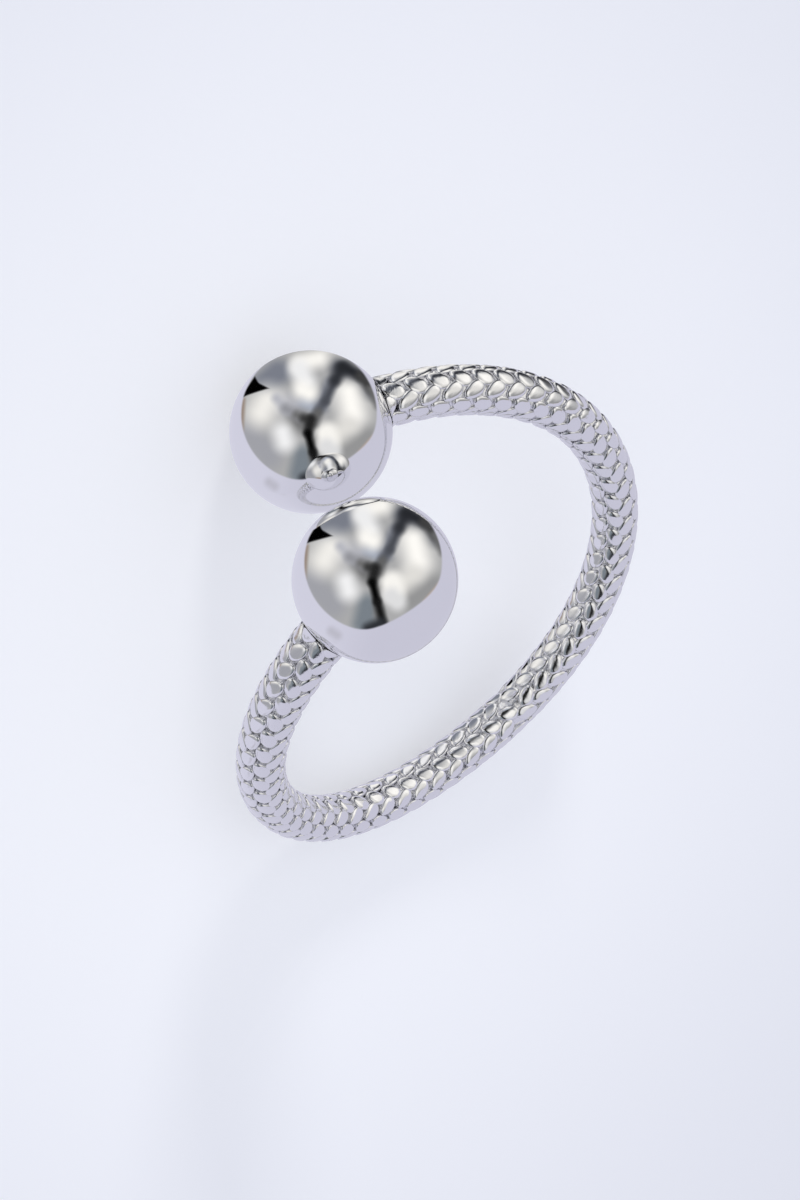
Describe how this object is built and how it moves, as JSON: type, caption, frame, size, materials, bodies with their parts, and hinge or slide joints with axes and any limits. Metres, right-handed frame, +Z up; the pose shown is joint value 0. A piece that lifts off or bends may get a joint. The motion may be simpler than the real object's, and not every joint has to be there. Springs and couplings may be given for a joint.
{
  "type": "finger ring",
  "caption": "Open bypass ring: a round band with a raised wheat-ear weave whose ends pass each other, each end closed by a plain polished ball.",
  "frame": {"origin": "centre of the footprint of the ring's box, on the surface that it rests on", "axes": "+Z up, roughly along the finger; +Y towards the back of the hoop, so the two balls are at -Y; +X across the hoop"},
  "size_m": [0.0234, 0.024, 0.0141],
  "materials": {
    "woven_metal": "bright plated metal over a raised weave, dark in the valleys",
    "polished_metal": "mirror polish"
  },
  "bodies": {
    "root": {"woven_band": "woven_metal", "lower_ball": "polished_metal", "upper_ball": "polished_metal"}
  },
  "joints": []
}
